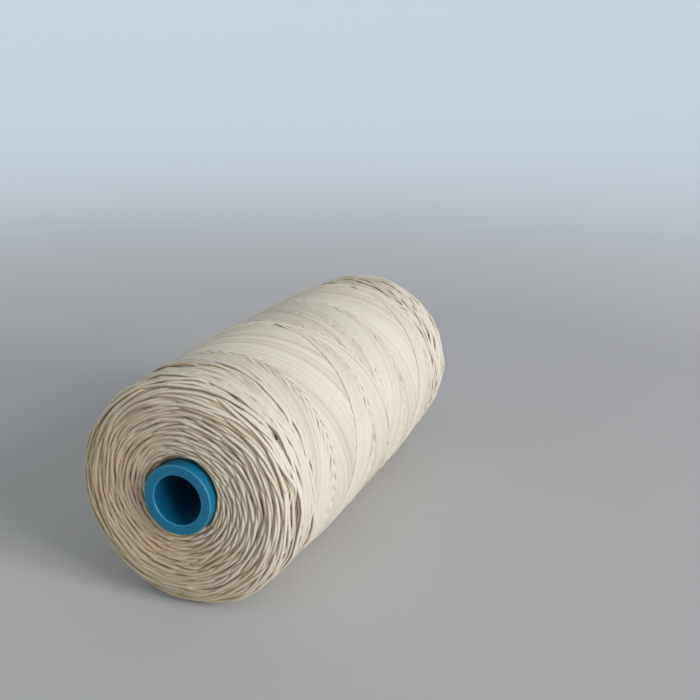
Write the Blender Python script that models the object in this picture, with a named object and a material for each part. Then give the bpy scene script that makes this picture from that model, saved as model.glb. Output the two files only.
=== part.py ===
"""A spool of waxed thread, cross-wound on a plain moulded tube, lying on its side.

The spool's axis lies along Y. The end that faces -Y is the front. +Z is up, and the lowest threads
touch the ground at Z = 0. Every solid is modelled about the Y axis and then lifted by AXIS_HEIGHT.
All sizes are in metres.
"""

import math

import bmesh
import bpy

# The wound package
PACKAGE_DIAMETER = 0.080      # at mid-length, over the crests of the threads
PACKAGE_LENGTH = 0.175        # between the two wound end faces
END_TAPER = 0.0020            # how much less radius the package has near its ends than at mid-length
TAPER_START = 0.035           # distances from mid-length between which it gets thinner
TAPER_END = 0.080
SHOULDER_LENGTH = 0.006       # rounded rim, measured along the axis
SHOULDER_DROP = 0.0063        # rounded rim, measured inwards
END_FACE_DISH = 0.0018        # how far the end face sinks towards the tube
REST_FLAT_DEPTH = 0.00035     # how far the weight presses the lowest threads flat

# The thread and how it is laid
THREAD_DIAMETER = 0.0013
THREADS_PER_RIB = 4           # neighbouring passes of thread that one rib of the side stands for
THREADS_PER_RIDGE = 3         # layers of thread that one ridge of an end face stands for
TURNS_PER_CYCLE = 5           # turns of the spool while the thread runs to the far end and back
TURNAROUND_OVERRUN = 0.005    # what rounding cuts off the point of each turnaround
RIB_RELIEF = 0.0010           # groove to crest, on the side
RIDGE_RELIEF = 0.0011         # groove to crest, on the end faces
SHOULDER_GROOVE_SHARE = 0.6   # depth of the grooves on the rounded rim, against the end face's
LOOPS_PER_RIDGE = 11          # overlapping turnarounds of the thread round one ridge of an end face
LOOP_DIP_SHARE = 0.55         # how far a loop sinks along its length, against the ridge's height
LOOP_SHIFT = 0.38             # how far the loops of one ridge lie ahead of those of the next
OUTER_LAY_THICKNESS = 0.0045  # the last layers, built as a solid of their own

# The core tube
TUBE_OUTER_DIAMETER = 0.0235
TUBE_BORE_DIAMETER = 0.0165
TUBE_STAND_OUT = 0.0018       # beyond the wound end face, at both ends
TUBE_OUTER_EDGE_RADIUS = 0.0005
TUBE_BORE_EDGE_RADIUS = 0.0005
GRIP_GROOVE_COUNT = 4         # shallow grooves that stop the first layer from sliding
GRIP_GROOVE_WIDTH = 0.0012
GRIP_GROOVE_DEPTH = 0.0004
GRIP_GROOVE_SPACING = 0.034

# Between solids that touch
SEAT_GAP = 0.0003

# Smoothness of the round shapes
TUBE_SIDES = 40
INNER_WINDING_SIDES = 32
EDGE_STEPS = 3
SHOULDER_STEPS = 4
SMOOTH_ANGLE = math.radians(38)

# Worked out from the sizes above
PACKAGE_RADIUS = PACKAGE_DIAMETER / 2
HALF_LENGTH = PACKAGE_LENGTH / 2
TUBE_OUTER_RADIUS = TUBE_OUTER_DIAMETER / 2
TUBE_BORE_RADIUS = TUBE_BORE_DIAMETER / 2
WINDING_BORE_RADIUS = TUBE_OUTER_RADIUS + SEAT_GAP
AXIS_HEIGHT = PACKAGE_RADIUS - REST_FLAT_DEPTH

# One turn of the thread moves it along the axis by the wind pitch
CIRCUMFERENCE = math.pi * PACKAGE_DIAMETER
STROKE = PACKAGE_LENGTH + 2 * TURNAROUND_OVERRUN
WIND_PITCH = 2 * STROKE / TURNS_PER_CYCLE
WIND_ANGLE = math.atan2(WIND_PITCH, CIRCUMFERENCE)
RIB_WIDTH = THREADS_PER_RIB * THREAD_DIAMETER
RIB_COUNT = round(CIRCUMFERENCE * math.sin(WIND_ANGLE) / RIB_WIDTH)

# The side's mesh follows the threads: each rib has a crest line and a groove line, in both directions
LINES_AROUND = 2 * RIB_COUNT
ROW_PITCH = WIND_PITCH / 2 / LINES_AROUND
ROWS_EACH_WAY = math.floor((HALF_LENGTH - SHOULDER_LENGTH) / ROW_PITCH)
SHOULDER_START = ROWS_EACH_WAY * ROW_PITCH
END_SIDES = 2 * LINES_AROUND


def clear_scene():
    for obj in list(bpy.data.objects):
        bpy.data.objects.remove(obj, do_unlink=True)


def make_material(name, color, roughness):
    material = bpy.data.materials.new(name)
    material.use_nodes = True
    shader = material.node_tree.nodes["Principled BSDF"]
    shader.inputs["Base Color"].default_value = (*color, 1.0)
    shader.inputs["Roughness"].default_value = roughness
    shader.inputs["Metallic"].default_value = 0.0
    material.diffuse_color = (*color, 1.0)
    return material


def make_object(name, bm, material):
    """Turn a closed bmesh round the Y axis into an object at the height of the spool's axis."""
    bmesh.ops.recalc_face_normals(bm, faces=bm.faces)
    mesh = bpy.data.meshes.new(name)
    bm.to_mesh(mesh)
    bm.free()
    mesh.shade_smooth()
    mesh.set_sharp_from_angle(angle=SMOOTH_ANGLE)
    mesh.materials.append(material)
    obj = bpy.data.objects.new(name, mesh)
    obj.location = (0.0, 0.0, AXIS_HEIGHT)
    bpy.context.scene.collection.objects.link(obj)
    return obj


def turned_solid(name, profile, sides, material):
    """Spin a closed outline of (radius, distance along the axis) points about the Y axis."""
    bm = bmesh.new()
    outline = [bm.verts.new((radius, along, 0.0)) for radius, along in profile]
    edges = [bm.edges.new((outline[i - 1], outline[i])) for i in range(len(outline))]
    bmesh.ops.spin(bm, geom=outline + edges, cent=(0, 0, 0), axis=(0, 1, 0),
                   angle=math.tau, steps=sides, use_merge=True)
    return make_object(name, bm, material)


def corner_arc(center_radius, center_along, edge_radius, start_angle, end_angle):
    """Points of a rounded corner in the (radius, along) plane."""
    points = []
    for step in range(EDGE_STEPS + 1):
        angle = start_angle + (end_angle - start_angle) * step / EDGE_STEPS
        points.append((center_radius + edge_radius * math.cos(angle),
                       center_along + edge_radius * math.sin(angle)))
    return points


def side_radius(along):
    """Crest radius of the package: straight at mid-length, and a little thinner near both ends."""
    share = (abs(along) - TAPER_START) / (TAPER_END - TAPER_START)
    share = min(max(share, 0.0), 1.0)
    return PACKAGE_RADIUS - END_TAPER * share * share * (3 - 2 * share)


def ring_point(radius, angle, along):
    """A point at an angle round the Y axis, counted from the lowest line of the spool."""
    return (radius * math.sin(angle), along, -radius * math.cos(angle))


def join_rings(bm, inner, outer):
    """Close two rings of as many vertices each with quads."""
    count = len(inner)
    for i in range(count):
        bm.faces.new((inner[i - 1], inner[i], outer[i], outer[i - 1]))


# ---------------------------------------------------------------- core tube

def tube_outline():
    """Half section of the tube: outer side with grip grooves, rounded end rims, smooth bore."""
    end = HALF_LENGTH + TUBE_STAND_OUT
    quarter = math.pi / 2
    outer_r = TUBE_OUTER_RADIUS
    bore_r = TUBE_BORE_RADIUS
    outer_edge = TUBE_OUTER_EDGE_RADIUS
    bore_edge = TUBE_BORE_EDGE_RADIUS
    points = corner_arc(bore_r + bore_edge, -end + bore_edge, bore_edge, 2 * quarter, 3 * quarter)
    points += corner_arc(outer_r - outer_edge, -end + outer_edge, outer_edge, 3 * quarter, 4 * quarter)
    for groove in range(GRIP_GROOVE_COUNT):
        middle = (groove - (GRIP_GROOVE_COUNT - 1) / 2) * GRIP_GROOVE_SPACING
        floor_half = GRIP_GROOVE_WIDTH / 2 - GRIP_GROOVE_DEPTH / 2
        points.append((outer_r, middle - GRIP_GROOVE_WIDTH / 2))
        points.append((outer_r - GRIP_GROOVE_DEPTH, middle - floor_half))
        points.append((outer_r - GRIP_GROOVE_DEPTH, middle + floor_half))
        points.append((outer_r, middle + GRIP_GROOVE_WIDTH / 2))
    points += corner_arc(outer_r - outer_edge, end - outer_edge, outer_edge, 0.0, quarter)
    points += corner_arc(bore_r + bore_edge, end - bore_edge, bore_edge, quarter, 2 * quarter)
    return points


def build_core_tube(plastic):
    return turned_solid("core_tube", tube_outline(), TUBE_SIDES, plastic)


# ---------------------------------------------------------------- buried layers

def build_inner_winding(thread):
    """The thread between the tube and the last layers, seated in the shell of the outer winding."""
    end = SHOULDER_START
    side = PACKAGE_RADIUS - OUTER_LAY_THICKNESS - SEAT_GAP
    outline = [(WINDING_BORE_RADIUS, -end), (side, -end), (side, end), (WINDING_BORE_RADIUS, end)]
    return turned_solid("inner_winding", outline, INNER_WINDING_SIDES, thread)


# ---------------------------------------------------------------- the cross-wound side

def top_line(forward_line, return_line):
    """The later of the two passes that cross here lies on top."""
    return forward_line if forward_line > return_line else return_line


def side_vertex(row, column):
    """A vertex of the side, where a line of the forward passes meets one of the return passes.

    Lines are numbered in the order in which they were wound. Going up one row along a forward
    pass keeps the column, and along a return pass it goes back one column.
    """
    forward_line = column % LINES_AROUND
    return_line = (column + row + LINES_AROUND // 2) % LINES_AROUND
    along = row * ROW_PITCH
    angle = math.tau * (column + row / 2) / LINES_AROUND
    is_crest = top_line(forward_line, return_line) % 2 == 1
    radius = side_radius(along) - (0.0 if is_crest else RIB_RELIEF)
    x, y, z = ring_point(radius, angle, along)
    return x, y, max(z, -AXIS_HEIGHT)


def build_outer_winding(thread):
    """The last layers: ribs of parallel threads that cross at the wind angle.

    Each zone between two circles of crossings holds one triangle of forward ribs on top and one
    of return ribs on top, and each triangle tapers to a point over a full turn.
    """
    bm = bmesh.new()
    rows = range(-ROWS_EACH_WAY, ROWS_EACH_WAY + 1)
    rings = [[bm.verts.new(side_vertex(row, column)) for column in range(LINES_AROUND)] for row in rows]
    for row, low, high in zip(rows, rings, rings[1:]):
        for column in range(LINES_AROUND):
            after = (column + 1) % LINES_AROUND
            bm.faces.new((low[column], low[after], high[column]))
            bm.faces.new((low[after], high[after], high[column]))
    bore = PACKAGE_RADIUS - OUTER_LAY_THICKNESS
    bore_rings = []
    for row in (rows[0], rows[-1]):
        angles = [math.tau * (column + row / 2) / LINES_AROUND for column in range(LINES_AROUND)]
        bore_rings.append([bm.verts.new(ring_point(bore, angle, row * ROW_PITCH)) for angle in angles])
    front_bore, back_bore = bore_rings
    turned_columns = (rows[-1] - rows[0]) // 2
    front_bore_in_line = [front_bore[(column + turned_columns) % LINES_AROUND]
                          for column in range(LINES_AROUND)]
    join_rings(bm, rings[0], front_bore)
    join_rings(bm, front_bore_in_line, back_bore)
    join_rings(bm, back_bore, rings[-1])
    return make_object("outer_winding", bm, thread)


# ---------------------------------------------------------------- the end faces

def shoulder_rings():
    """Rings of the rounded rim, as (radius, along, is_crest). Every other ring lies in a groove."""
    rim = side_radius(SHOULDER_START) - RIB_RELIEF / 2
    start = SHOULDER_START + SEAT_GAP
    length = HALF_LENGTH - start
    rings = []
    for step in range(SHOULDER_STEPS):
        angle = math.pi / 2 * step / SHOULDER_STEPS
        depth = RIDGE_RELIEF * SHOULDER_GROOVE_SHARE * (step % 2)
        radius = rim - SHOULDER_DROP * (1 - math.cos(angle)) - depth * math.cos(angle)
        along = start + (length - depth) * math.sin(angle)
        rings.append((radius, along, False))
    return rings


def face_rings():
    """Rings of the end face from the rim to the tube: crest, groove, crest and so on."""
    face_rim = side_radius(SHOULDER_START) - RIB_RELIEF / 2 - SHOULDER_DROP
    face_width = face_rim - WINDING_BORE_RADIUS
    ridge_count = round(face_width / (THREADS_PER_RIDGE * THREAD_DIAMETER))
    rings = []
    for step in range(2 * ridge_count + 1):
        share = step / (2 * ridge_count)
        is_crest = step % 2 == 0
        along = HALF_LENGTH - END_FACE_DISH * share ** 2
        if not is_crest:
            along -= RIDGE_RELIEF
        rings.append((face_rim - face_width * share, along, is_crest))
    return rings


def loop_dip(number, angle):
    """How far a ridge sinks along one of its loops before the next loop starts on top."""
    place = (angle / math.tau * LOOPS_PER_RIDGE + number * LOOP_SHIFT) % 1.0
    return RIDGE_RELIEF * LOOP_DIP_SHARE * place


def build_end_winding(name, facing, thread):
    """The turnarounds of all layers. Each ridge is a ring of loops that overlap like feathers."""
    bm = bmesh.new()
    angles = [math.tau * side / END_SIDES for side in range(END_SIDES)]
    rings = []
    for number, (radius, along, is_crest) in enumerate(shoulder_rings() + face_rings()):
        ring = []
        for angle in angles:
            height = along - loop_dip(number, angle) if is_crest else along
            ring.append(bm.verts.new(ring_point(radius, angle, facing * height)))
        rings.append(ring)
    seat = facing * (SHOULDER_START + SEAT_GAP)
    rings.append([bm.verts.new(ring_point(WINDING_BORE_RADIUS, angle, seat)) for angle in angles])
    for outer, inner in zip(rings, rings[1:]):
        join_rings(bm, outer, inner)
    join_rings(bm, rings[-1], rings[0])
    return make_object(name, bm, thread)


def build_spool():
    clear_scene()
    plastic = make_material("blue_plastic", (0.02, 0.12, 0.21), 0.38)
    thread = make_material("waxed_thread", (0.60, 0.50, 0.34), 0.60)
    build_core_tube(plastic)
    build_inner_winding(thread)
    build_outer_winding(thread)
    build_end_winding("front_end_winding", -1, thread)
    build_end_winding("back_end_winding", 1, thread)


build_spool()
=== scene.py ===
"""The looks of a spool of waxed thread: every visible thread, the plastic tube, and a plain pale stage.

The thread's course is found by winding the package turn by turn, as a winding machine does. Each length
of thread is laid on what lies there already, in the order of winding. What still shows at the end is then
modelled as thread. The winding works in millimetres. Along is the distance along the spool's axis, and
angle is the direction round it, counted from the lowest line of the spool.
"""

import math

import bpy
import numpy as np
from mathutils import Matrix, Vector


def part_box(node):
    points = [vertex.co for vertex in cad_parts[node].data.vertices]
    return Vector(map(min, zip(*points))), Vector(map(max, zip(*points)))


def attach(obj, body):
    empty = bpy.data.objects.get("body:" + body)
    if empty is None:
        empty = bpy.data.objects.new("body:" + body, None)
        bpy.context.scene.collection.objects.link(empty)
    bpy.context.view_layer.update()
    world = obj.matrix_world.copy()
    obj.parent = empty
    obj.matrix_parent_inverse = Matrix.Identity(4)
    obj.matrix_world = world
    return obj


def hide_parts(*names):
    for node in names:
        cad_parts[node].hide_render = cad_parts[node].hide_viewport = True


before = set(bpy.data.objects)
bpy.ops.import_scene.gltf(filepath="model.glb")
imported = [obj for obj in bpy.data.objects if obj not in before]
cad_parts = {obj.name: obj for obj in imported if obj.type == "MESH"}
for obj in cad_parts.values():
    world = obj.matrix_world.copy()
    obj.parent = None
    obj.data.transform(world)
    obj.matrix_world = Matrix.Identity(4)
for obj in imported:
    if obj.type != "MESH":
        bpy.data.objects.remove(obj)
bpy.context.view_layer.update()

MM = 0.001

# ------------------------------------------------------------------ sizes taken from the frame, in mm

TUBE_LOW, TUBE_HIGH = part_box("core_tube")
SIDE_LOW, SIDE_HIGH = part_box("outer_winding")
FRONT_LOW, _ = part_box("front_end_winding")

AXIS_HEIGHT = (TUBE_LOW[2] + TUBE_HIGH[2]) / 2 / MM
TUBE_RADIUS = (TUBE_HIGH[0] - TUBE_LOW[0]) / 2 / MM
TUBE_HALF_LENGTH = TUBE_HIGH[1] / MM
PACKAGE_RADIUS = (SIDE_HIGH[0] - SIDE_LOW[0]) / 2 / MM
HALF_LENGTH = -FRONT_LOW[1] / MM

# The tube
BORE_RADIUS = 8.25
TUBE_OUTER_EDGE_RADIUS = 0.5
TUBE_BORE_EDGE_RADIUS = 0.5
TUBE_SIDES = 144
TUBE_EDGE_STEPS = 8

# The wound package
END_TAPER = 2.0               # how much less radius the package has near its ends than at mid-length
TAPER_START = 35.0            # distances from mid-length between which it gets thinner
TAPER_END = 80.0
SHOULDER_LENGTH = 6.0         # rounded rim, along the axis
SHOULDER_DROP = 6.3           # rounded rim, inwards
END_FACE_DISH = 1.3           # how far the end face sinks towards the tube
DISH_RADIUS = 27.0            # where it starts to sink
DISH_POWER = 1.5
CREST_CLEARANCE = 0.05        # of the crests, inside the frame's own package

# The thread
THREAD_HALF_HEIGHT = 0.50     # the tension presses it a little flat
THREAD_HALF_WIDTH = 0.80
FREE_HALF_HEIGHT = 0.61       # at the end faces, where nothing presses it
FREE_HALF_WIDTH = 0.72
CONTACT_HALF_WIDTH = 0.48     # of the part of its width that rests on what is below
WINDING_SEED = 11

# How the machine lays it
TURNS_PER_CYCLE = 5           # turns of the spool while the thread runs to the far end and back
COVERAGES = 13                # times that the winding covers the whole package
THREAD_SPACING = 1.30         # from pass to pass, across the thread
TURNAROUND_OVERRUN = 4.0      # what rounding cuts off the point of each turnaround
TURNAROUND_SPREAD = 8.0       # how far short of the end face a turnaround can stop
TURNAROUND_CHOICES = 5
JUDGED_SHARE = 0.8            # of a turnaround's bend, by which the choice between them is made
GROUP_SIZES = (2, 6)          # neighbouring passes in a group: at least the first, fewer than the second
GROUP_GAP = 0.34              # extra room between two groups
SHIFT_KEPT = 0.92             # share of a pass's shift that the next one takes over
PASS_JITTER = 0.05
PASS_WANDER = 0.08
WANDER_POINTS = 12
STEADY_END = 6.0              # from the end face to where the shift of a pass is whole
JOINING_SAMPLES = 60          # over which a pass leaves the end of the one before

# How it settles on what is below
PRESSING = 1.4                # how much more than a free taut thread one bends to follow those below
SINK = 0.14                   # how far a thread beds into the ones below
PILE_LIMIT = 0.55             # threads that pile up higher than this press into those below
PILE_STIFFNESS = 0.35
HEIGHT_SAMPLES = 5            # over which the thread's own stiffness rounds its kinks
OPEN_SAMPLES = 6              # at the end of a pass, which only count once the next one joins it
SLIP_ROUNDS = 3
SLIP_REACH = 0.25             # to both sides of the thread, where the slope below it is felt
SLIP_SHARE = 0.4              # of the slope, as slip in mm
MOST_SLIP = 0.15
HELD_SAMPLES = 40             # over which the end of a pass goes from fixed to free
SLOPE_SAMPLES = 31
SLIP_SAMPLES = 15
LEVELLING = 0.75              # share of the unevenness that the pressure of the next layers takes away
LEVELLING_LENGTH = 1.3
UNLEVELLED_END = 1.5          # next to the end faces

# How the finished package is brought to its outline
SMOOTHING_LENGTH = 2.5
SMOOTHING_ROUNDS = 2
UNSMOOTHED_END = 3.0          # next to the end faces
MOST_SHRUNK, MOST_GROWN = 0.8, 1.25
CREST_ABOVE_MEAN = 0.55       # of the crests, over the mean of the wound surface

# How the threads that show bulge into gaps
ON_TOP_TOLERANCE = 0.05
GAP_DEPTH = 0.5               # from the outline to threads that bulge into a gap
MOST_SQUEEZED = 2.0
SQUEEZING = 0.9
BULGE_SAMPLES = 9
SQUEEZED_RIM = 0.7            # how much nearer to the end faces they still do so

# How they lie at the end faces
FACE_ZONE = 5.5               # from the end face to where it has no more say
FACE_ZONE_FADE = 4.0
EASING_LENGTH = 8.0           # over which the kinks of a thread ease out
STRAY = 0.55                  # how far at most a thread strays in or out past its turnaround
STRAY_LENGTH = 5.0            # over which it does so
RIM_DEPTH = 6.0               # below the crests, within which the threads stray less
LEAST_STRAY = 0.3             # share of it that is left at the crests
PRESSED_RIM = 0.7             # share by which threads that stand out of the rim are pressed back
LOOSE_INNER_GAP = 2.3         # between the tube and the first threads, on their loosest side
LOOSE_INNER_DEPTH = 2.5
LOOSE_SIDE = math.radians(205)

# The maps of the package's surface, by row along and column around, and of its end faces
MAP_STEP_ALONG = 0.2
MAP_STEPS_AROUND = 720
MAP_MARGIN = 2.0
NEAR_ROWS = np.arange(-4, 5)
FACE_CELL = 0.25
FACE_CELLS = 340
NEAR_CELLS = range(-2, 3)

# Which threads show and are modelled
SHOWING_TOLERANCE = 0.25
MODELLED_BELOW_FACE = 1.8     # threads deeper than this under the end faces aren't modelled
END_ZONE = 9.0
SHORTEST_SHOWING = 3          # samples
BURIED_LENGTH = 3.0           # by which a thread runs on under what covers it

# The modelled thread
RING_STEP = 0.8               # from ring to ring of the mesh, along the thread
THREAD_SIDES = 10
TIP_SHARE = 0.15              # size of the first and last ring of a stretch of thread
END_CAP = np.array([(0, 1, 8, 9), (1, 2, 7, 8), (2, 3, 6, 7), (3, 4, 5, 6)])
THREAD_PIECES = {"front_end": 3, "back_end": 3, "side": 6}
THREAD_NODES = {"front_end": "front_end_winding", "back_end": "back_end_winding", "side": "outer_winding"}
STRIP_ASPECT = 4.0            # rows of unrolled thread on the baking map, as length over width
STRIP_MARGIN = 0.1

# The solid layers below the modelled threads
FILL_DEPTH = 1.5              # below the end face
SIDE_FILL_DEPTH = 1.0         # below the side
FILL_CLEARANCE = 1.2          # round the tube, at the end faces
FILL_THROAT_CLEARANCE = 0.3   # round the tube, further in
FILL_THROAT_DEPTHS = 3        # how far in, as a multiple of the depth below the end face
FILL_SIDES = 96
FILL_SIDE_RINGS = 40
FILL_FACE_RINGS = 16

# Worked out from the sizes above
MAP_STEP_AROUND = math.tau / MAP_STEPS_AROUND
MAP_START = -(HALF_LENGTH + MAP_MARGIN)
MAP_ROWS = round(2 * (HALF_LENGTH + MAP_MARGIN) / MAP_STEP_ALONG)
MAP_ALONG = MAP_START + MAP_STEP_ALONG * np.arange(MAP_ROWS)
VIRTUAL_HALF_LENGTH = HALF_LENGTH + TURNAROUND_OVERRUN
WIND_PITCH = 4 * VIRTUAL_HALF_LENGTH / TURNS_PER_CYCLE
WIND_SLOPE = WIND_PITCH / math.tau
CREST_RADIUS = PACKAGE_RADIUS - CREST_CLEARANCE
LAYER_GROWTH = (CREST_RADIUS - TUBE_RADIUS) / COVERAGES
MEAN_GROUP = (GROUP_SIZES[0] + GROUP_SIZES[1] - 1) / 2


# ------------------------------------------------------------------ winding

def end_limit(radius):
    """How far from mid-length the middle of a thread can lie, at this distance from the axis."""
    sink = np.clip((DISH_RADIUS - radius) / (DISH_RADIUS - TUBE_RADIUS), 0, 1)
    rise = np.clip((radius - PACKAGE_RADIUS + SHOULDER_DROP) / SHOULDER_DROP, 0, 1)
    rim = SHOULDER_LENGTH * (1 - np.sqrt(1 - rise * rise))
    return HALF_LENGTH - THREAD_HALF_WIDTH - END_FACE_DISH * sink ** DISH_POWER - rim


def smooth_step(share):
    share = np.clip(share, 0, 1)
    return share * share * (3 - 2 * share)


def package_radius(along):
    """Outline of the package over the crests: straight, thinner near both ends, and a rounded rim."""
    taper = END_TAPER * smooth_step((np.abs(along) - TAPER_START) / (TAPER_END - TAPER_START))
    past_side = np.clip((np.abs(along) - HALF_LENGTH + SHOULDER_LENGTH) / SHOULDER_LENGTH, 0, 1)
    return CREST_RADIUS - taper - SHOULDER_DROP * (1 - np.sqrt(1 - past_side ** 2))


def moving_average(values, count):
    padded = np.concatenate([np.full(count, values[0]), values, np.full(count, values[-1])])
    return np.convolve(padded, np.ones(count) / count, "same")[count:-count]


def highest_near(values, count):
    return np.lib.stride_tricks.sliding_window_view(np.pad(values, count // 2), count).max(1)


def taut_line(angle, support, radius):
    """Height of a taut thread over the points that could hold it up.

    Round a cylinder, straight is a parabola in (angle, height), and a pressed thread follows a steeper
    one. Taking that parabola away leaves the upper hull of the points.
    """
    bow = PRESSING * radius * angle * angle / 2
    x = angle.tolist()
    y = (support - bow).tolist()
    hull = [0]
    for i in range(1, len(x)):
        while len(hull) > 1:
            a, b = hull[-2], hull[-1]
            if (y[b] - y[a]) * (x[i] - x[a]) > (y[i] - y[a]) * (x[b] - x[a]):
                break
            hull.pop()
        hull.append(i)
    return np.interp(angle, angle[hull], (support - bow)[hull]) + bow


def blurred(surface, rows, columns):
    """The map smoothed by a bell curve of that width, mirrored at both ends of the spool."""
    count = surface.shape[0]
    mirrored = np.concatenate([surface[::-1], surface, surface[::-1]])
    along = np.fft.fftfreq(mirrored.shape[0])[:, None]
    around = np.fft.rfftfreq(mirrored.shape[1])[None, :]
    bell = np.exp(-2 * np.pi ** 2 * ((along * rows) ** 2 + (around * columns) ** 2))
    return np.fft.irfft2(np.fft.rfft2(mirrored) * bell, s=mirrored.shape)[count:2 * count]


def map_row(along, first=MAP_START):
    return np.round((along - first) / MAP_STEP_ALONG).astype(int)


def map_column(angle):
    return np.round(angle / MAP_STEP_AROUND).astype(int) % MAP_STEPS_AROUND


def footprint(along, cosine, half_width=CONTACT_HALF_WIDTH):
    """Map rows under each sample of a thread, and how far its surface stands over its middle there."""
    place = (along - MAP_START) / MAP_STEP_ALONG
    nearest = np.round(place).astype(int)
    rows = np.clip(nearest[:, None] + NEAR_ROWS, 0, MAP_ROWS - 1)
    off = (nearest[:, None] + NEAR_ROWS - place[:, None]) * MAP_STEP_ALONG * cosine[:, None]
    rise = THREAD_HALF_HEIGHT * np.sqrt(np.clip(1 - (off / half_width) ** 2, 0, 1))
    return rows, rise, np.abs(off) < half_width


class Winding:
    """The surface of the package while it grows, and every length of thread laid so far."""

    def __init__(self):
        self.random = np.random.default_rng(WINDING_SEED)
        self.surface = np.full((MAP_ROWS, MAP_STEPS_AROUND), TUBE_RADIUS)
        self.strands = []
        self.end = None
        self.fresh_end = None

    def support(self, columns, along, cosine):
        """Lowest height at which the thread's middle can lie."""
        rows, rise, inside = footprint(along, cosine)
        height = self.surface[rows, columns[:, None]] + rise
        return np.where(inside, height, -1).max(1)

    def slide(self, columns, along, cosine, limit):
        """Let the thread slip sideways, down the slope that it lies on."""
        count = np.arange(len(along))
        free = np.clip((len(along) - 1 - count) / HELD_SAMPLES, 0, 1)
        if self.end is not None:
            free = free * np.clip(count / HELD_SAMPLES, 0, 1)
        for _ in range(SLIP_ROUNDS):
            up = self.support(columns, np.clip(along + SLIP_REACH, -limit, limit), cosine)
            down = self.support(columns, np.clip(along - SLIP_REACH, -limit, limit), cosine)
            slope = moving_average((up - down) / (2 * SLIP_REACH), SLOPE_SAMPLES)
            slip = moving_average(np.clip(-SLIP_SHARE * slope, -MOST_SLIP, MOST_SLIP), SLIP_SAMPLES)
            along = np.clip(along + slip * free, -limit, limit)
        return along

    def lay(self, angle, along, nominal, limit):
        """Lay one length of thread on the package. Its start is where the last one ended."""
        columns = map_column(angle)
        cosine = nominal / np.hypot(nominal, np.gradient(along, angle))
        along = self.slide(columns, along, cosine, limit)
        support = self.support(columns, along, cosine) - SINK
        allowed = np.minimum(nominal + PILE_LIMIT, package_radius(along) - THREAD_HALF_HEIGHT)
        pile = support - allowed
        support = np.where(pile > 0, allowed + pile * PILE_STIFFNESS, support)
        if self.end is not None:
            support[0] = self.end[1]
        height = moving_average(taut_line(angle - angle[0], support, nominal), HEIGHT_SAMPLES)
        self.end = (along[-1], height[-1])
        self.press(columns, along, height, cosine)
        return along, height

    def press(self, columns, along, height, cosine):
        """Raise the surface under the new thread, but for its very end, which the next one joins."""
        rows, rise, inside = footprint(along, cosine)
        top = np.where(inside, height[:, None] + rise, -1)
        columns = np.repeat(columns[:, None], len(NEAR_ROWS), 1)
        if self.fresh_end is not None:
            np.maximum.at(self.surface, *self.fresh_end)
        closed = slice(None, -OPEN_SAMPLES)
        open_end = slice(-OPEN_SAMPLES, None)
        np.maximum.at(self.surface, (rows[closed], columns[closed]), top[closed])
        self.fresh_end = ((rows[open_end], columns[open_end]), top[open_end])

    def level(self, first):
        """The layers above press hills down and let hollows fill, and the newest threads go with them."""
        inside = np.flatnonzero(np.abs(MAP_ALONG) < HALF_LENGTH - UNLEVELLED_END)
        part = self.surface[inside]
        mean = part.mean()
        columns_wide = LEVELLING_LENGTH / (mean * MAP_STEP_AROUND)
        smooth = blurred(part, LEVELLING_LENGTH / MAP_STEP_ALONG, columns_wide)
        shift = LEVELLING * (smooth - np.minimum(mean, package_radius(MAP_ALONG[inside]))[:, None])
        self.surface[inside] -= shift
        for strand in self.strands[first:]:
            rows = np.clip(map_row(strand["along"]) - inside[0], 0, len(inside) - 1)
            strand["height"] -= shift[rows, map_column(strand["angle"])]

    def stroke(self, peak_angle, side, span, nominal, limit):
        """Course from mid-length to one end and back. The thread turns where the package is thinnest."""
        turn = np.arange(-span / 2, span / 2, MAP_STEP_AROUND)
        best = None
        for short in TURNAROUND_SPREAD * self.random.random(TURNAROUND_CHOICES) ** 2:
            cut = VIRTUAL_HALF_LENGTH - limit + short
            bend = 2 * cut / WIND_SLOPE
            rounded = VIRTUAL_HALF_LENGTH - cut - WIND_SLOPE * turn ** 2 / (2 * bend)
            straight = VIRTUAL_HALF_LENGTH - WIND_SLOPE * np.abs(turn)
            course = np.where(np.abs(turn) < bend, rounded, straight)
            near = np.abs(turn) < JUDGED_SHARE * bend
            rows = map_row(side * course[near])
            full = np.minimum(package_radius(course[near]), nominal)
            below = (self.surface[rows, map_column(peak_angle + turn[near])] - full).mean()
            if best is None or below < best[0]:
                best = (below, course)
        return turn, side * best[1]


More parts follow.
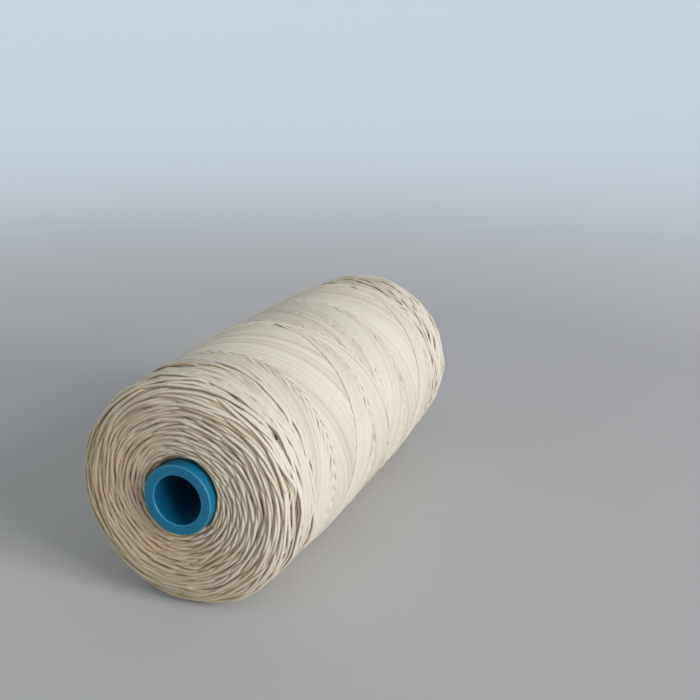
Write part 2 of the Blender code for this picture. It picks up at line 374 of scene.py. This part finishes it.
def wind_package():
    """Wind the package from the bare tube to its full size."""
    winding = Winding()
    peak_angle = 0.0
    for coverage in range(COVERAGES):
        base = TUBE_RADIUS + coverage * LAYER_GROWTH
        around = math.tau * base
        cycles = round(around * WIND_PITCH / math.hypot(WIND_PITCH, around) / THREAD_SPACING)
        span = math.pi * TURNS_PER_CYCLE + math.pi / cycles
        first = len(winding.strands)
        left_in_group = 0
        shift = 0.0
        for cycle in range(cycles):
            nominal = base + THREAD_HALF_HEIGHT + LAYER_GROWTH * (cycle + 0.5) / cycles
            limit = float(end_limit(min(nominal, PACKAGE_RADIUS)))
            gap = -GROUP_GAP / MEAN_GROUP
            if left_in_group == 0:
                left_in_group = int(winding.random.integers(*GROUP_SIZES))
                gap += GROUP_GAP
            left_in_group -= 1
            shift = SHIFT_KEPT * shift + gap + winding.random.normal(0, PASS_JITTER)
            for side in (1, -1):
                turn, along = winding.stroke(peak_angle, side, span, nominal, limit)
                wander = winding.random.normal(0, PASS_WANDER, WANDER_POINTS)
                wander[[0, -1]] = 0
                away_from_end = np.clip((limit - np.abs(along)) / STEADY_END, 0, 1)
                along = along - side * np.sign(turn) * shift * away_from_end
                along += np.interp(turn, np.linspace(turn[0], turn[-1], WANDER_POINTS), wander)
                along = np.clip(along, -limit, limit)
                if winding.end is not None:
                    along += (winding.end[0] - along[0]) * np.exp(-np.arange(len(along)) / JOINING_SAMPLES)
                angle = peak_angle + turn
                along, height = winding.lay(angle, along, nominal, limit)
                winding.strands.append({"angle": angle, "along": along, "height": height})
                peak_angle += span
        winding.level(first)
    return winding.strands


def top_surface(strands, half_width=CONTACT_HALF_WIDTH):
    """Map of the highest thread surface, and for each strand its part of the map."""
    surface = np.full((MAP_ROWS, MAP_STEPS_AROUND), TUBE_RADIUS)
    parts = []
    for strand in strands:
        slope = np.gradient(strand["along"], strand["angle"])
        cosine = strand["height"] / np.hypot(strand["height"], slope)
        rows, rise, inside = footprint(strand["along"], cosine, half_width)
        columns = np.repeat(map_column(strand["angle"])[:, None], len(NEAR_ROWS), 1)
        top = np.where(inside, strand["height"][:, None] + rise, -1)
        np.maximum.at(surface, (rows, columns), top)
        parts.append((rows, columns, top))
    return surface, parts


def to_full_size(strands):
    """Bring the wound surface to the package's outline."""
    inside = np.flatnonzero(np.abs(MAP_ALONG) < HALF_LENGTH - UNSMOOTHED_END)
    goal = package_radius(MAP_ALONG[inside]) - CREST_ABOVE_MEAN
    columns_wide = SMOOTHING_LENGTH / (PACKAGE_RADIUS * MAP_STEP_AROUND)
    for _ in range(SMOOTHING_ROUNDS):
        surface, _ = top_surface(strands)
        smooth = blurred(surface[inside], SMOOTHING_LENGTH / MAP_STEP_ALONG, columns_wide)
        growth = np.clip((goal[:, None] - TUBE_RADIUS) / (smooth - TUBE_RADIUS), MOST_SHRUNK, MOST_GROWN)
        for strand in strands:
            rows = np.clip(map_row(strand["along"], MAP_ALONG[inside[0]]), 0, len(inside) - 1)
            share = growth[rows, map_column(strand["angle"])]
            strand["height"] = TUBE_RADIUS + (strand["height"] - TUBE_RADIUS) * share


def at_end_face(along):
    """From 0 well inside the package to 1 at its end faces."""
    return smooth_step((np.abs(along) - HALF_LENGTH + FACE_ZONE) / FACE_ZONE_FADE)


def squeeze_into_gaps(strands):
    """Threads that show deep in a gap bulge up into it, under the pressure of those on both sides."""
    surface, parts = top_surface(strands, THREAD_HALF_WIDTH)
    for strand, (rows, columns, top) in zip(strands, parts):
        shows = (top > surface[rows, columns] - ON_TOP_TOLERANCE).any(1)
        goal = package_radius(np.clip(strand["along"], -HALF_LENGTH, HALF_LENGTH)) - GAP_DEPTH
        missing = np.clip(goal - strand["height"] - THREAD_HALF_HEIGHT, 0, MOST_SQUEEZED)
        inner = 1 - at_end_face(np.abs(strand["along"]) - SQUEEZED_RIM)
        bulge = moving_average(highest_near(np.where(shows, missing, 0), BULGE_SAMPLES), BULGE_SAMPLES)
        strand["height"] += SQUEEZING * inner * bulge


def tangle_ends(strands):
    """At the end faces each thread strays its own way, so that neighbours cross at small angles.

    The first threads also lie loose round the tube there, most on one side, and threads that stand out
    of the rim are pressed back.
    """
    random = np.random.default_rng(WINDING_SEED + 2)
    for strand in strands:
        past_turnaround = (strand["angle"] - strand["angle"].mean()) * strand["height"]
        stray = STRAY * random.uniform(-1, 1) * np.tanh(past_turnaround / STRAY_LENGTH)
        held = smooth_step((package_radius(0) - strand["height"]) / RIM_DEPTH)
        gap = LOOSE_INNER_GAP * (1 + np.cos(strand["angle"] - LOOSE_SIDE)) / 2
        loose = gap * np.exp((TUBE_RADIUS - strand["height"]) / LOOSE_INNER_DEPTH)
        window = 2 * round(EASING_LENGTH / 2 / (strand["height"].mean() * MAP_STEP_AROUND)) + 1
        eased = moving_average(moving_average(strand["height"], window), window)
        near = at_end_face(strand["along"])
        stray *= LEAST_STRAY + (1 - LEAST_STRAY) * held
        strand["height"] += (eased - strand["height"] + stray + loose) * near
        standing_out = strand["height"] + THREAD_HALF_HEIGHT - package_radius(strand["along"])
        strand["height"] -= PRESSED_RIM * np.maximum(standing_out, 0) * near
        strand["height"] = np.maximum(strand["height"], TUBE_RADIUS + THREAD_HALF_HEIGHT)


# ------------------------------------------------------------------ what shows of the thread

def showing_from_the_side(strands):
    """For each strand, which samples lie on top, seen square to the axis."""
    surface, parts = top_surface(strands, THREAD_HALF_WIDTH)
    hidden = package_radius(np.clip(MAP_ALONG, -HALF_LENGTH, HALF_LENGTH)) - SIDE_FILL_DEPTH
    lowest_seen = np.maximum(surface - SHOWING_TOLERANCE, hidden[:, None])
    return [(top > lowest_seen[rows, columns]).any(1) for rows, columns, top in parts]


def showing_from_the_end(strands, side):
    """For each strand, which samples lie within a thread or so of the end face, seen along the axis."""
    offsets = [(i, j) for i in NEAR_CELLS for j in NEAR_CELLS
               if math.hypot(i, j) * FACE_CELL < THREAD_HALF_HEIGHT]
    face = np.full((FACE_CELLS, FACE_CELLS), -np.inf)
    placed = []
    for strand in strands:
        outwards = side * strand["along"]
        near = outwards > HALF_LENGTH - END_ZONE
        x = strand["height"] * np.sin(strand["angle"])
        z = strand["height"] * np.cos(strand["angle"])
        column, row = [np.round(place / FACE_CELL + FACE_CELLS / 2).astype(int) for place in (x, z)]
        placed.append((row, column, outwards, near))
        for i, j in offsets:
            np.maximum.at(face, (row[near] + i, column[near] + j), outwards[near])
    return [near & (outwards > face[row, column] - MODELLED_BELOW_FACE)
            for row, column, outwards, near in placed]


def showing_runs(strands):
    """Every stretch of thread that shows, as (strand number, first sample, last sample)."""
    from_side = showing_from_the_side(strands)
    from_front = showing_from_the_end(strands, -1)
    from_back = showing_from_the_end(strands, 1)
    runs = []
    for number, masks in enumerate(zip(from_side, from_front, from_back)):
        shows = masks[0] | masks[1] | masks[2]
        margin = round(BURIED_LENGTH / (strands[number]["height"].mean() * MAP_STEP_AROUND))
        grown = np.convolve(shows, np.ones(2 * margin + 1), "same") > 0
        edges = np.flatnonzero(np.diff(np.concatenate([[0], grown, [0]])))
        for start, stop in zip(edges[::2], edges[1::2]):
            if shows[start:stop].sum() >= SHORTEST_SHOWING:
                runs.append((number, start, min(stop, len(shows) - 1)))
    return runs


# ------------------------------------------------------------------ meshes

def link_mesh(name, mesh, material):
    mesh.materials.append(material)
    obj = bpy.data.objects.new(name, mesh)
    bpy.context.scene.collection.objects.link(obj)
    return obj


def mesh_from_arrays(name, points, quads, corner_layers, point_layers):
    """A smooth mesh of quads, with its UV maps by corner and its values by point."""
    mesh = bpy.data.meshes.new(name)
    mesh.vertices.add(len(points))
    mesh.vertices.foreach_set("co", points.astype(np.float32).ravel())
    mesh.loops.add(quads.size)
    mesh.loops.foreach_set("vertex_index", quads.astype(np.int32).ravel())
    mesh.polygons.add(len(quads))
    mesh.polygons.foreach_set("loop_start", np.arange(0, quads.size, 4, dtype=np.int32))
    mesh.update(calc_edges=True)
    mesh.shade_smooth()
    for layer, values in corner_layers.items():
        uv = mesh.uv_layers.new(name=layer)
        uv.data.foreach_set("uv", values.astype(np.float32).ravel())
    for layer, values in point_layers.items():
        attribute = mesh.attributes.new(layer, "FLOAT", "POINT")
        attribute.data.foreach_set("value", values.astype(np.float32))
    return mesh


def resampled(strand, start, stop):
    """Points of one run at even steps, in mm about the axis, with the directions straight outwards."""
    angle = strand["angle"][start:stop + 1]
    along = strand["along"][start:stop + 1]
    height = strand["height"][start:stop + 1]
    steps = np.sqrt(np.diff(along) ** 2 + np.diff(height) ** 2 + (height[1:] * np.diff(angle)) ** 2)
    distance = np.concatenate([[0], np.cumsum(steps)])
    count = max(3, round(distance[-1] / RING_STEP) + 1)
    even = np.linspace(0, distance[-1], count)
    angle = np.interp(even, distance, angle)
    along = np.interp(even, distance, along)
    height = np.interp(even, distance, height)
    outwards = np.stack([np.sin(angle), np.zeros(count), -np.cos(angle)], 1)
    middle = outwards * height[:, None]
    middle[:, 1] = along
    return middle, outwards, even


def unit(vectors):
    return vectors / np.linalg.norm(vectors, axis=1)[:, None]


def thread_mesh(name, strands, runs, tones):
    """One mesh of closed tubes, one for each run."""
    around = np.arange(THREAD_SIDES) / THREAD_SIDES * math.tau
    points, quads, lengths, tone_values = [], [], [], []
    count = 0
    travelled = 0.0
    for number, start, stop in runs:
        middle, outwards, distance = resampled(strands[number], start, stop)
        tangent = unit(np.gradient(middle, axis=0))
        across = unit(np.cross(tangent, outwards))
        up = np.cross(across, tangent)
        taper = np.ones(len(middle))
        taper[[0, -1]] = TIP_SHARE
        free = at_end_face(middle[:, 1])
        half_width = taper * (THREAD_HALF_WIDTH + (FREE_HALF_WIDTH - THREAD_HALF_WIDTH) * free)
        half_height = taper * (THREAD_HALF_HEIGHT + (FREE_HALF_HEIGHT - THREAD_HALF_HEIGHT) * free)
        ring = (middle[:, None]
                + half_width[:, None, None] * np.cos(around)[None, :, None] * across[:, None]
                + half_height[:, None, None] * np.sin(around)[None, :, None] * up[:, None])
        points.append(ring.reshape(-1, 3))
        rings = len(middle)
        here = count + np.arange((rings - 1) * THREAD_SIDES).reshape(rings - 1, THREAD_SIDES)
        beside = np.roll(here, -1, axis=1)
        quads.append(np.stack([here, here + THREAD_SIDES, beside + THREAD_SIDES, beside], 2).reshape(-1, 4))
        quads.append(count + END_CAP[:, ::-1])
        quads.append(count + (rings - 1) * THREAD_SIDES + END_CAP)
        lengths.append(np.repeat(travelled + distance, THREAD_SIDES))
        tone_values.append(np.full(rings * THREAD_SIDES, tones[number]))
        count += rings * THREAD_SIDES
        travelled += distance[-1] + RING_STEP
    points = np.concatenate(points)
    quads = np.concatenate(quads)
    points[:, 2] += AXIS_HEIGHT
    points[:, 2] = np.maximum(points[:, 2], 0)
    side = quads % THREAD_SIDES
    side = np.where((side == 0) & (side.max(1) == THREAD_SIDES - 1)[:, None], THREAD_SIDES, side)
    length = np.concatenate(lengths)[quads]
    thread_uv = np.stack([length, side / THREAD_SIDES], 2)
    uv_maps = {"thread": thread_uv, "OFBake": strip_layout(length, side / THREAD_SIDES, travelled)}
    return mesh_from_arrays(name, points * MM, quads, uv_maps, {"tone": np.concatenate(tone_values)})


def strip_layout(length, turn, total):
    """The unrolled thread laid out in rows on a square, for baking."""
    rows = math.ceil(math.sqrt(total / STRIP_ASPECT))
    row_length = total / rows + RING_STEP
    start = length.min(1)
    row = np.floor(start / row_length)[:, None]
    along_row = (length - row * row_length) / (row_length + 2 * RING_STEP)
    across_row = (row + (STRIP_MARGIN + turn) / (1 + 2 * STRIP_MARGIN)) / rows
    return np.stack([along_row, across_row], 2)


def lathe(name, profile, sides, material, shade=None):
    """Spin a closed outline of (radius, along) points, in mm, about the spool's axis."""
    around = np.arange(sides) / sides * math.tau
    profile = np.array(profile)
    rings = len(profile)
    x = profile[:, :1] * np.sin(around)
    z = -profile[:, :1] * np.cos(around) + AXIS_HEIGHT
    y = np.repeat(profile[:, 1:], sides, 1)
    points = np.stack([x, y, np.maximum(z, 0)], 2).reshape(-1, 3)
    first = np.arange(rings)
    here = first[:, None] * sides + np.arange(sides)
    beside = first[:, None] * sides + (np.arange(sides) + 1) % sides
    step = ((first + 1) % rings)[:, None] * sides
    quads = np.stack([here, beside, step + beside % sides, step + here % sides], 2).reshape(-1, 4)
    shade = np.zeros(rings) if shade is None else np.array(shade)
    mesh = mesh_from_arrays(name, points * MM, quads, {}, {"shade": np.repeat(shade, sides)})
    return link_mesh(name, mesh, material)


def corner_arc(center_radius, center_along, edge_radius, start_turn, end_turn):
    """Points of a rounded corner, from one direction to another, in quarter turns."""
    turns = np.linspace(start_turn, end_turn, TUBE_EDGE_STEPS + 1) * math.pi / 2
    return [(center_radius + edge_radius * math.cos(turn), center_along + edge_radius * math.sin(turn))
            for turn in turns]


def build_tube(material):
    """The tube. Its shade is 1 on the rounded edges of its ends, for a painted highlight, and falls to -1
    inside the bore, for painted shade.
    """
    outer = TUBE_RADIUS - TUBE_OUTER_EDGE_RADIUS
    outer_end = TUBE_HALF_LENGTH - TUBE_OUTER_EDGE_RADIUS
    bore = BORE_RADIUS + TUBE_BORE_EDGE_RADIUS
    bore_end = TUBE_HALF_LENGTH - TUBE_BORE_EDGE_RADIUS
    profile = corner_arc(bore, -bore_end, TUBE_BORE_EDGE_RADIUS, 2, 3)
    profile += corner_arc(outer, -outer_end, TUBE_OUTER_EDGE_RADIUS, 3, 4)
    profile += corner_arc(outer, outer_end, TUBE_OUTER_EDGE_RADIUS, 0, 1)
    profile += corner_arc(bore, bore_end, TUBE_BORE_EDGE_RADIUS, 1, 2)
    turn = np.arange(TUBE_EDGE_STEPS + 1) / TUBE_EDGE_STEPS
    outer_shade = np.sin(math.pi * turn)
    bore_shade = np.where(turn > 0.5, outer_shade, 2 * outer_shade - 1)
    shade = np.concatenate([bore_shade, outer_shade, outer_shade, bore_shade[::-1]])
    tube = lathe("tube", profile, TUBE_SIDES, material, shade)
    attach(tube, "root")
    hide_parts("core_tube")
    return tube


def build_fill(material):
    """The layers under the modelled threads, as one turned solid."""
    end = HALF_LENGTH - FILL_DEPTH
    side = [(float(package_radius(along + SIDE_FILL_DEPTH)) - SIDE_FILL_DEPTH, along)
            for along in np.linspace(0, end, FILL_SIDE_RINGS)]
    face_radii = np.linspace(side[-1][0], TUBE_RADIUS + FILL_CLEARANCE, FILL_FACE_RINGS)[1:]
    face = [(radius, float(end_limit(radius)) - FILL_DEPTH) for radius in face_radii]
    throat = (TUBE_RADIUS + FILL_THROAT_CLEARANCE, end - FILL_THROAT_DEPTHS * FILL_DEPTH)
    half = side + face + [throat]
    front = [(radius, -along) for radius, along in half]
    profile = front[:0:-1] + half
    fill = lathe("buried_thread", profile, FILL_SIDES, material)
    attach(fill, "root")
    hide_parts("inner_winding")
    return fill


def part_of_package(strand, start, stop):
    """Where the middle of a run lies."""
    mean = strand["along"][start:stop].mean()
    if mean < END_ZONE - HALF_LENGTH:
        return "front_end"
    if mean > HALF_LENGTH - END_ZONE:
        return "back_end"
    return "side"


def shared_out(strands, runs, pieces):
    """The runs in their order, in as many lists of about the same length of thread."""
    lengths = [strands[number]["height"].mean() * (stop - start) for number, start, stop in runs]
    share = np.cumsum(lengths) / sum(lengths) * pieces
    share = np.minimum(share.astype(int), pieces - 1)
    return [[run for run, own in zip(runs, share) if own == piece] for piece in range(pieces)]


def build_threads(material):
    """All threads that show, in several meshes for each part of the package."""
    strands = wind_package()
    to_full_size(strands)
    squeeze_into_gaps(strands)
    tangle_ends(strands)
    tones = np.random.default_rng(WINDING_SEED + 1).random(len(strands))
    groups = {part: [] for part in THREAD_PIECES}
    for number, start, stop in showing_runs(strands):
        groups[part_of_package(strands[number], start, stop)].append((number, start, stop))
    for part, runs in groups.items():
        for count, chosen in enumerate(shared_out(strands, runs, THREAD_PIECES[part]), start=1):
            name = f"{part}_threads_{count}"
            obj = link_mesh(name, thread_mesh(name, strands, chosen, tones), material)
            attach(obj, "root")
            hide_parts(THREAD_NODES[part])


# ------------------------------------------------------------------ materials

def new_material(name, roughness, specular=0.5):
    """A plain material, with its nodes, its links and its shader."""
    material = bpy.data.materials.new(name)
    material.use_nodes = True
    shader = material.node_tree.nodes["Principled BSDF"]
    shader.inputs["Roughness"].default_value = roughness
    shader.inputs["Specular IOR Level"].default_value = specular
    return material, material.node_tree.nodes, material.node_tree.links, shader


def math_node(nodes, links, operation, *values):
    node = nodes.new("ShaderNodeMath")
    node.operation = operation
    for socket, value in zip(node.inputs, values):
        if isinstance(value, (int, float)):
            socket.default_value = value
        else:
            links.new(value, socket)
    return node.outputs[0]


def color_ramp(nodes, links, value, stops):
    """Colour by value, from a list of (value, colour)."""
    node = nodes.new("ShaderNodeValToRGB")
    elements = node.color_ramp.elements
    while len(elements) < len(stops):
        elements.new(0.5)
    for element, (position, color) in zip(elements, stops):
        element.position = position
        element.color = (*color, 1.0)
    links.new(value, node.inputs[0])
    return node.outputs[0]


def mixed_color(nodes, links, blend, factor, first, second):
    node = nodes.new("ShaderNodeMix")
    node.data_type = "RGBA"
    node.blend_type = blend
    for socket, value in ((node.inputs[0], factor), (node.inputs[6], first), (node.inputs[7], second)):
        if isinstance(value, (int, float)):
            socket.default_value = value
        elif isinstance(value, tuple):
            socket.default_value = (*value, 1.0)
        else:
            links.new(value, socket)
    return node.outputs[2]


def point_value(nodes, name):
    """The value that a mesh keeps under that name for each of its points."""
    node = nodes.new("ShaderNodeAttribute")
    node.attribute_name = name
    return node.outputs["Fac"]


def noise_value(nodes, links, place, scale, detail):
    node = nodes.new("ShaderNodeTexNoise")
    node.inputs["Scale"].default_value = scale
    node.inputs["Detail"].default_value = detail
    links.new(place, node.inputs["Vector"])
    return node.outputs["Fac"]


def object_place(nodes):
    return nodes.new("ShaderNodeTexCoord").outputs["Object"]


def add_bump(nodes, links, shader, height, depth, strength):
    bump = nodes.new("ShaderNodeBump")
    bump.inputs["Distance"].default_value = depth
    bump.inputs["Strength"].default_value = strength
    links.new(height, bump.inputs["Height"])
    links.new(bump.outputs[0], shader.inputs["Normal"])


# Colours of the thread, as (value, colour)
WHITE = (1.0, 1.0, 1.0)
THREAD_TONES = [(0.0, (0.68, 0.58, 0.42)), (0.2, (0.77, 0.705, 0.565)), (1.0, (0.83, 0.785, 0.665))]
# Painted shade on the thread's sides and underside, where neighbours shade it, with a painted warm glow of
# light through the thread
FLANK_SHADE_TINTS = [(0.1, (0.56, 0.40, 0.23)), (0.5, (0.78, 0.645, 0.455)), (0.85, WHITE)]
FLANK_SHADE_STRENGTH = 0.8
FIBRE_TINTS = [(0.3, (0.88, 0.85, 0.80)), (0.65, WHITE)]
FIBRE_STRENGTH = 0.7
# Painted shade: the buried thread is coloured darker than the thread, for the shade between the threads
# above it
BURIED_SHADE_TONES = [(0.3, (0.54, 0.40, 0.25)), (0.7, (0.68, 0.55, 0.38))]

# Pattern of the thread
PLIES = 3.0
PLY_LENGTH = 4.5              # mm of thread from one ply to the next
FIBRES_ALONG = 0.35           # per mm of thread
FIBRES_AROUND = 9.0           # per turn round the thread
FIBRE_TWIST = 0.6             # per mm of thread
FIBRE_RELIEF = 0.5            # against the relief of the plies


def ply_relief(nodes, links, length, turn):
    """Height of the plies that are twisted together, from 0 in the grooves to 1."""
    around = math_node(nodes, links, "MULTIPLY", turn, PLIES)
    twist = math_node(nodes, links, "MULTIPLY", length, 1 / PLY_LENGTH)
    phase = math_node(nodes, links, "MULTIPLY", math_node(nodes, links, "ADD", around, twist), math.pi)
    return math_node(nodes, links, "ABSOLUTE", math_node(nodes, links, "SINE", phase))


def fibre_streaks(nodes, links, length, turn):
    """Fine streaks that run along the thread and slowly round it."""
    along = math_node(nodes, links, "MULTIPLY", length, FIBRES_ALONG)
    around = math_node(nodes, links, "MULTIPLY", turn, FIBRES_AROUND)
    twist = math_node(nodes, links, "MULTIPLY", length, FIBRE_TWIST)
    place = nodes.new("ShaderNodeCombineXYZ")
    links.new(along, place.inputs[0])
    links.new(math_node(nodes, links, "ADD", around, twist), place.inputs[1])
    return noise_value(nodes, links, place.outputs[0], scale=3.0, detail=2.0)


def thread_color(nodes, links, turn, fibres):
    """Each thread has its own tone. Its sides get painted shade, darkest underneath where neighbours shade
    them, with a painted warm glow of light through the thread, and its fibres show a little.
    """
    tone = color_ramp(nodes, links, point_value(nodes, "tone"), THREAD_TONES)
    crest = math_node(nodes, links, "SINE", math_node(nodes, links, "MULTIPLY", turn, math.tau))
    facing = math_node(nodes, links, "MULTIPLY_ADD", crest, 0.5, 0.5)
    # Painted shade and warm glow, strongest on the underside of the thread and none on top
    flank_shade = color_ramp(nodes, links, facing, FLANK_SHADE_TINTS)
    streaks = color_ramp(nodes, links, fibres, FIBRE_TINTS)
    color = mixed_color(nodes, links, "MULTIPLY", FLANK_SHADE_STRENGTH, tone, flank_shade)
    return mixed_color(nodes, links, "MULTIPLY", FIBRE_STRENGTH, color, streaks)


def thread_material():
    """Plied thread, laid out by its length in mm and by its turn round the thread, from 0 to 1."""
    material, nodes, links, shader = new_material("waxed_thread", roughness=0.55, specular=0.35)
    uv = nodes.new("ShaderNodeUVMap")
    uv.uv_map = "thread"
    split = nodes.new("ShaderNodeSeparateXYZ")
    links.new(uv.outputs[0], split.inputs[0])
    length, turn = split.outputs[0], split.outputs[1]
    plies = ply_relief(nodes, links, length, turn)
    fibres = fibre_streaks(nodes, links, length, turn)
    links.new(thread_color(nodes, links, turn, fibres), shader.inputs["Base Color"])
    fine = math_node(nodes, links, "MULTIPLY", fibres, FIBRE_RELIEF)
    relief = math_node(nodes, links, "ADD", plies, fine)
    add_bump(nodes, links, shader, relief, depth=0.00006, strength=0.8)
    return material


def buried_material():
    """The same thread, too small to tell apart, in colours darkened with painted shade for the shade
    between the others.
    """
    material, nodes, links, shader = new_material("buried_thread", roughness=0.8)
    noise = noise_value(nodes, links, object_place(nodes), scale=600.0, detail=2.0)
    links.new(color_ramp(nodes, links, noise, BURIED_SHADE_TONES), shader.inputs["Base Color"])
    return material


# Colours of the tube
PLASTIC_TONES = [(0.3, (0.004, 0.155, 0.28)), (0.7, (0.005, 0.175, 0.31))]
# Painted highlight on the rounded edges of the tube's ends
EDGE_HIGHLIGHT_PLASTIC = (0.07, 0.34, 0.44)
EDGE_HIGHLIGHT_SHARE = 0.5
# Painted shade over the whole bore
BORE_SHADE_PLASTIC = (0.001, 0.03, 0.07)
BORE_SHADE_STRENGTH = 0.45


def tube_material():
    """Blue plastic, with a painted highlight on the rounded edges of its ends and painted shade inside the
    bore.
    """
    material, nodes, links, shader = new_material("tube_plastic", roughness=0.38, specular=0.4)
    noise = noise_value(nodes, links, object_place(nodes), scale=180.0, detail=4.0)
    shade = point_value(nodes, "shade")
    # Painted highlight where the shade value is above 0, on the rounded edges
    edge_highlight = math_node(nodes, links, "MULTIPLY", shade, EDGE_HIGHLIGHT_SHARE)
    # Painted shade where the shade value is below 0, inside the bore
    inside = math_node(nodes, links, "MULTIPLY", shade, -BORE_SHADE_STRENGTH)
    color = color_ramp(nodes, links, noise, PLASTIC_TONES)
    for share, tint in ((edge_highlight, EDGE_HIGHLIGHT_PLASTIC), (inside, BORE_SHADE_PLASTIC)):
        share = math_node(nodes, links, "MAXIMUM", share, 0.0)
        color = mixed_color(nodes, links, "MIX", share, color, tint)
    links.new(color, shader.inputs["Base Color"])
    add_bump(nodes, links, shader, noise, depth=0.00005, strength=0.3)
    return material


# ------------------------------------------------------------------ stage, light and camera, in metres

FLOOR_HUB = 0.05              # radius of the one face in the middle
FLOOR_RADIUS = 0.75           # of the level part
FLOOR_BEND = 0.45             # radius of the bend in which it rises
FLOOR_TOP = 0.75
FLOOR_BEND_RINGS = 24
FLOOR_SIDES = 96
# Painted light: the floor gets paler and bluer with distance from the spool, up the rising wall
FLOOR_LIGHT_TONES = [(0.30, (0.60, 0.595, 0.58)), (0.45, (0.70, 0.69, 0.67)),
               (0.75, (0.80, 0.83, 0.85)), (1.0, (0.83, 0.91, 0.95))]


def floor_mesh():
    """A floor that rises smoothly at a distance, all the way round."""
    profile = [(FLOOR_HUB, 0.0)]
    profile += [(FLOOR_RADIUS + FLOOR_BEND * math.sin(angle), FLOOR_BEND * (1 - math.cos(angle)))
                for angle in np.linspace(0, math.pi / 2, FLOOR_BEND_RINGS)]
    profile.append((FLOOR_RADIUS + FLOOR_BEND, FLOOR_TOP))
    around = np.arange(FLOOR_SIDES) / FLOOR_SIDES * math.tau
    points = [(radius * math.cos(angle), radius * math.sin(angle), height)
              for radius, height in profile for angle in around]
    faces = [tuple(reversed(range(FLOOR_SIDES)))]
    for first in range(0, (len(profile) - 1) * FLOOR_SIDES, FLOOR_SIDES):
        for side in range(FLOOR_SIDES):
            here = first + side
            beside = first + (side + 1) % FLOOR_SIDES
            faces.append((here, beside, beside + FLOOR_SIDES, here + FLOOR_SIDES))
    mesh = bpy.data.meshes.new("floor")
    mesh.from_pydata(points, [], faces)
    mesh.shade_smooth()
    return mesh


def floor_material():
    """Pale, and paler and bluer with the distance from the spool, up the rising wall: painted light, as if
    more light fell there.
    """
    material, nodes, links, shader = new_material("floor", roughness=0.9, specular=0.1)
    distance = nodes.new("ShaderNodeVectorMath")
    distance.operation = "LENGTH"
    links.new(object_place(nodes), distance.inputs[0])
    links.new(color_ramp(nodes, links, distance.outputs["Value"], FLOOR_LIGHT_TONES), shader.inputs["Base Color"])
    return material


def build_stage():
    """The floor. It casts no shadow, so that the key light outside it can shine in."""
    floor = link_mesh("floor", floor_mesh(), floor_material())
    floor.visible_shadow = False


KEY_PLACE = (1.96, -0.68, 0.78)
KEY_SIZE = (1.08, 0.9)
KEY_POWER = 37.0
KEY_COLOR = (0.97, 0.965, 1.03)
SKY_COLOR = (0.86, 0.87, 0.89)
SKY_STRENGTH = 0.355


def build_light():
    """One large soft light from the right, aimed at the spool, in a pale room."""
    data = bpy.data.lights.new("key_light", "AREA")
    data.shape = "RECTANGLE"
    data.size, data.size_y = KEY_SIZE
    data.energy = KEY_POWER
    data.color = KEY_COLOR
    light = bpy.data.objects.new("key_light", data)
    light.location = KEY_PLACE
    aim = Vector((0, 0, AXIS_HEIGHT * MM)) - Vector(KEY_PLACE)
    light.rotation_euler = aim.to_track_quat("-Z", "Y").to_euler()
    bpy.context.scene.collection.objects.link(light)
    world = bpy.data.worlds.new("studio")
    bpy.context.scene.world = world
    world.use_nodes = True
    background = world.node_tree.nodes["Background"]
    background.inputs["Color"].default_value = (*SKY_COLOR, 1.0)
    background.inputs["Strength"].default_value = SKY_STRENGTH
    bpy.context.scene.view_settings.view_transform = "Standard"


# Where the camera stands, as seen from the middle of the spool
CAMERA_AZIMUTH = math.radians(20.6)
CAMERA_PITCH = math.radians(15.9)
CAMERA_DISTANCE = 0.3894      # along the view
CAMERA_RIGHT = 0.0222
CAMERA_UP = 0.0238
SENSOR_WIDTH = 36.0
FOCAL_PIXELS = 998.0
PHOTO_SIDE = 700


def build_camera():
    right = Vector((math.cos(CAMERA_AZIMUTH), math.sin(CAMERA_AZIMUTH), 0))
    level_back = Vector((math.sin(CAMERA_AZIMUTH), -math.cos(CAMERA_AZIMUTH), 0))
    sky = Vector((0, 0, 1))
    back = level_back * math.cos(CAMERA_PITCH) + sky * math.sin(CAMERA_PITCH)
    up = sky * math.cos(CAMERA_PITCH) - level_back * math.sin(CAMERA_PITCH)
    data = bpy.data.cameras.new("camera")
    data.sensor_width = SENSOR_WIDTH
    data.lens = FOCAL_PIXELS * SENSOR_WIDTH / PHOTO_SIDE
    data.clip_start = 0.01
    camera = bpy.data.objects.new("camera", data)
    bpy.context.scene.collection.objects.link(camera)
    middle = Vector((0, 0, AXIS_HEIGHT * MM))
    place = middle + right * CAMERA_RIGHT + up * CAMERA_UP + back * CAMERA_DISTANCE
    axes = Matrix((right, up, back)).transposed().to_4x4()
    camera.matrix_world = Matrix.Translation(place) @ axes
    bpy.context.scene.camera = camera


build_tube(tube_material())
build_fill(buried_material())
build_threads(thread_material())
build_stage()
build_light()
build_camera()
